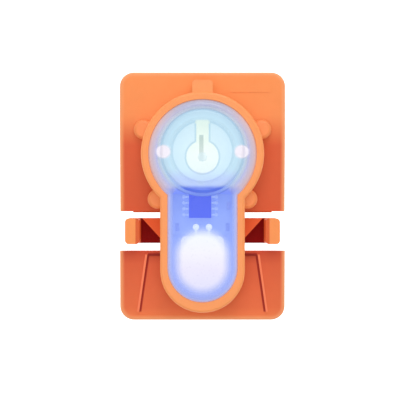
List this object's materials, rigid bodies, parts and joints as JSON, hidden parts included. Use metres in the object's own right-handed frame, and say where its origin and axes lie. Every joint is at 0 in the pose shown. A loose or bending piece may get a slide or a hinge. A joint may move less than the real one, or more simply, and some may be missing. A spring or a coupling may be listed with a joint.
{
  "type": "clip-on marker light",
  "caption": "Small clip-on LED marker light: a keyhole lamp with a push button on a split plate, with a sprung webbing clip arm behind it.",
  "frame": {"origin": "middle of the plate's outline, on the surface that the clip arm's back rests on", "axes": "X across the plate to the right seen from the front, Y up the plate towards the hinge, Z out through the lens"},
  "size_m": [0.0356, 0.0534, 0.0155],
  "materials": {
    "shell_orange": "moulded nylon, fine matte grain",
    "bezel_orange": "moulded nylon, soft sheen",
    "lens_frost": "frosted translucent, lit from within",
    "button_frost": "frosted translucent, lit from within",
    "seal_rubber": "soft silicone",
    "spring_steel": "drawn wire and strip",
    "screw_steel": "plated",
    "contact_brass": "plated spring contact",
    "pad_white": "pale film",
    "wire_jacket": "insulation",
    "tab_white": "white moulded",
    "cell_steel": "brushed cell can",
    "tray_white": "white moulded, lit blue",
    "board_blue": "solder mask",
    "chip_blue": "moulded package",
    "solder": "tinned",
    "part_dark": "ceramic",
    "part_tan": "ceramic",
    "led_glow": "lit lamp",
    "diffuser": "frosted, glowing"
  },
  "bodies": {
    "hub": {"hub_plate": "shell_orange", "bezel_frame": "bezel_orange", "bezel_screws": "screw_steel", "lens_cover": "lens_frost", "lens_seal": "seal_rubber", "return_spring": "spring_steel", "leaf_terminal": "contact_brass", "contact_pad": "pad_white", "supply_wire": "wire_jacket", "cell_clips": "tab_white", "coin_cell": "cell_steel", "ground_strip": "contact_brass", "lamp_tray": "tray_white", "circuit_board": "board_blue", "driver_chip": "chip_blue", "chip_leads": "solder", "resistors": "part_dark", "capacitor": "part_tan", "led_body": "led_glow", "led_leads": "solder", "led_diffuser": "diffuser", "hinge_pin": "screw_steel", "hinge_springs": "spring_steel"},
    "arm": {"clip_arm": "shell_orange"},
    "button": {"button_cap": "button_frost", "button_seal": "seal_rubber"},
    "leaf": {"contact_leaf": "contact_brass"},
    "door": {"battery_door": "shell_orange", "door_seal": "seal_rubber", "door_contact": "contact_brass"}
  },
  "joints": [
    {"name": "clip_open", "type": "hinge", "parent": "hub", "child": "arm", "pos_m": [0, 0.0239, 0.0023], "axis": [1, 0, 0], "range_deg": [0, 45], "stiffness_Nm_per_rad": 0.15, "springref_deg": -28.65},
    {"name": "button_press", "type": "slide", "parent": "hub", "child": "button", "axis": [0, 0, -1], "range_m": [0, 0.0005], "stiffness_N_per_m": 3000, "springref_m": -0.0004, "deforming": ["return_spring"]},
    {"name": "leaf_bend", "type": "hinge", "parent": "hub", "child": "leaf", "pos_m": [0, 0.0159, 0.01215], "axis": [1, 0, 0], "range_deg": [0, 3.7]},
    {"name": "door_turn", "type": "hinge", "parent": "hub", "child": "door", "pos_m": [0, 0.00965, 0.0064], "axis": [0, 0, -1], "range_deg": [0, 45]}
  ],
  "couplings": [
    {"joint": "leaf_bend", "follows": "button_press", "rad_per_m": 128}
  ]
}
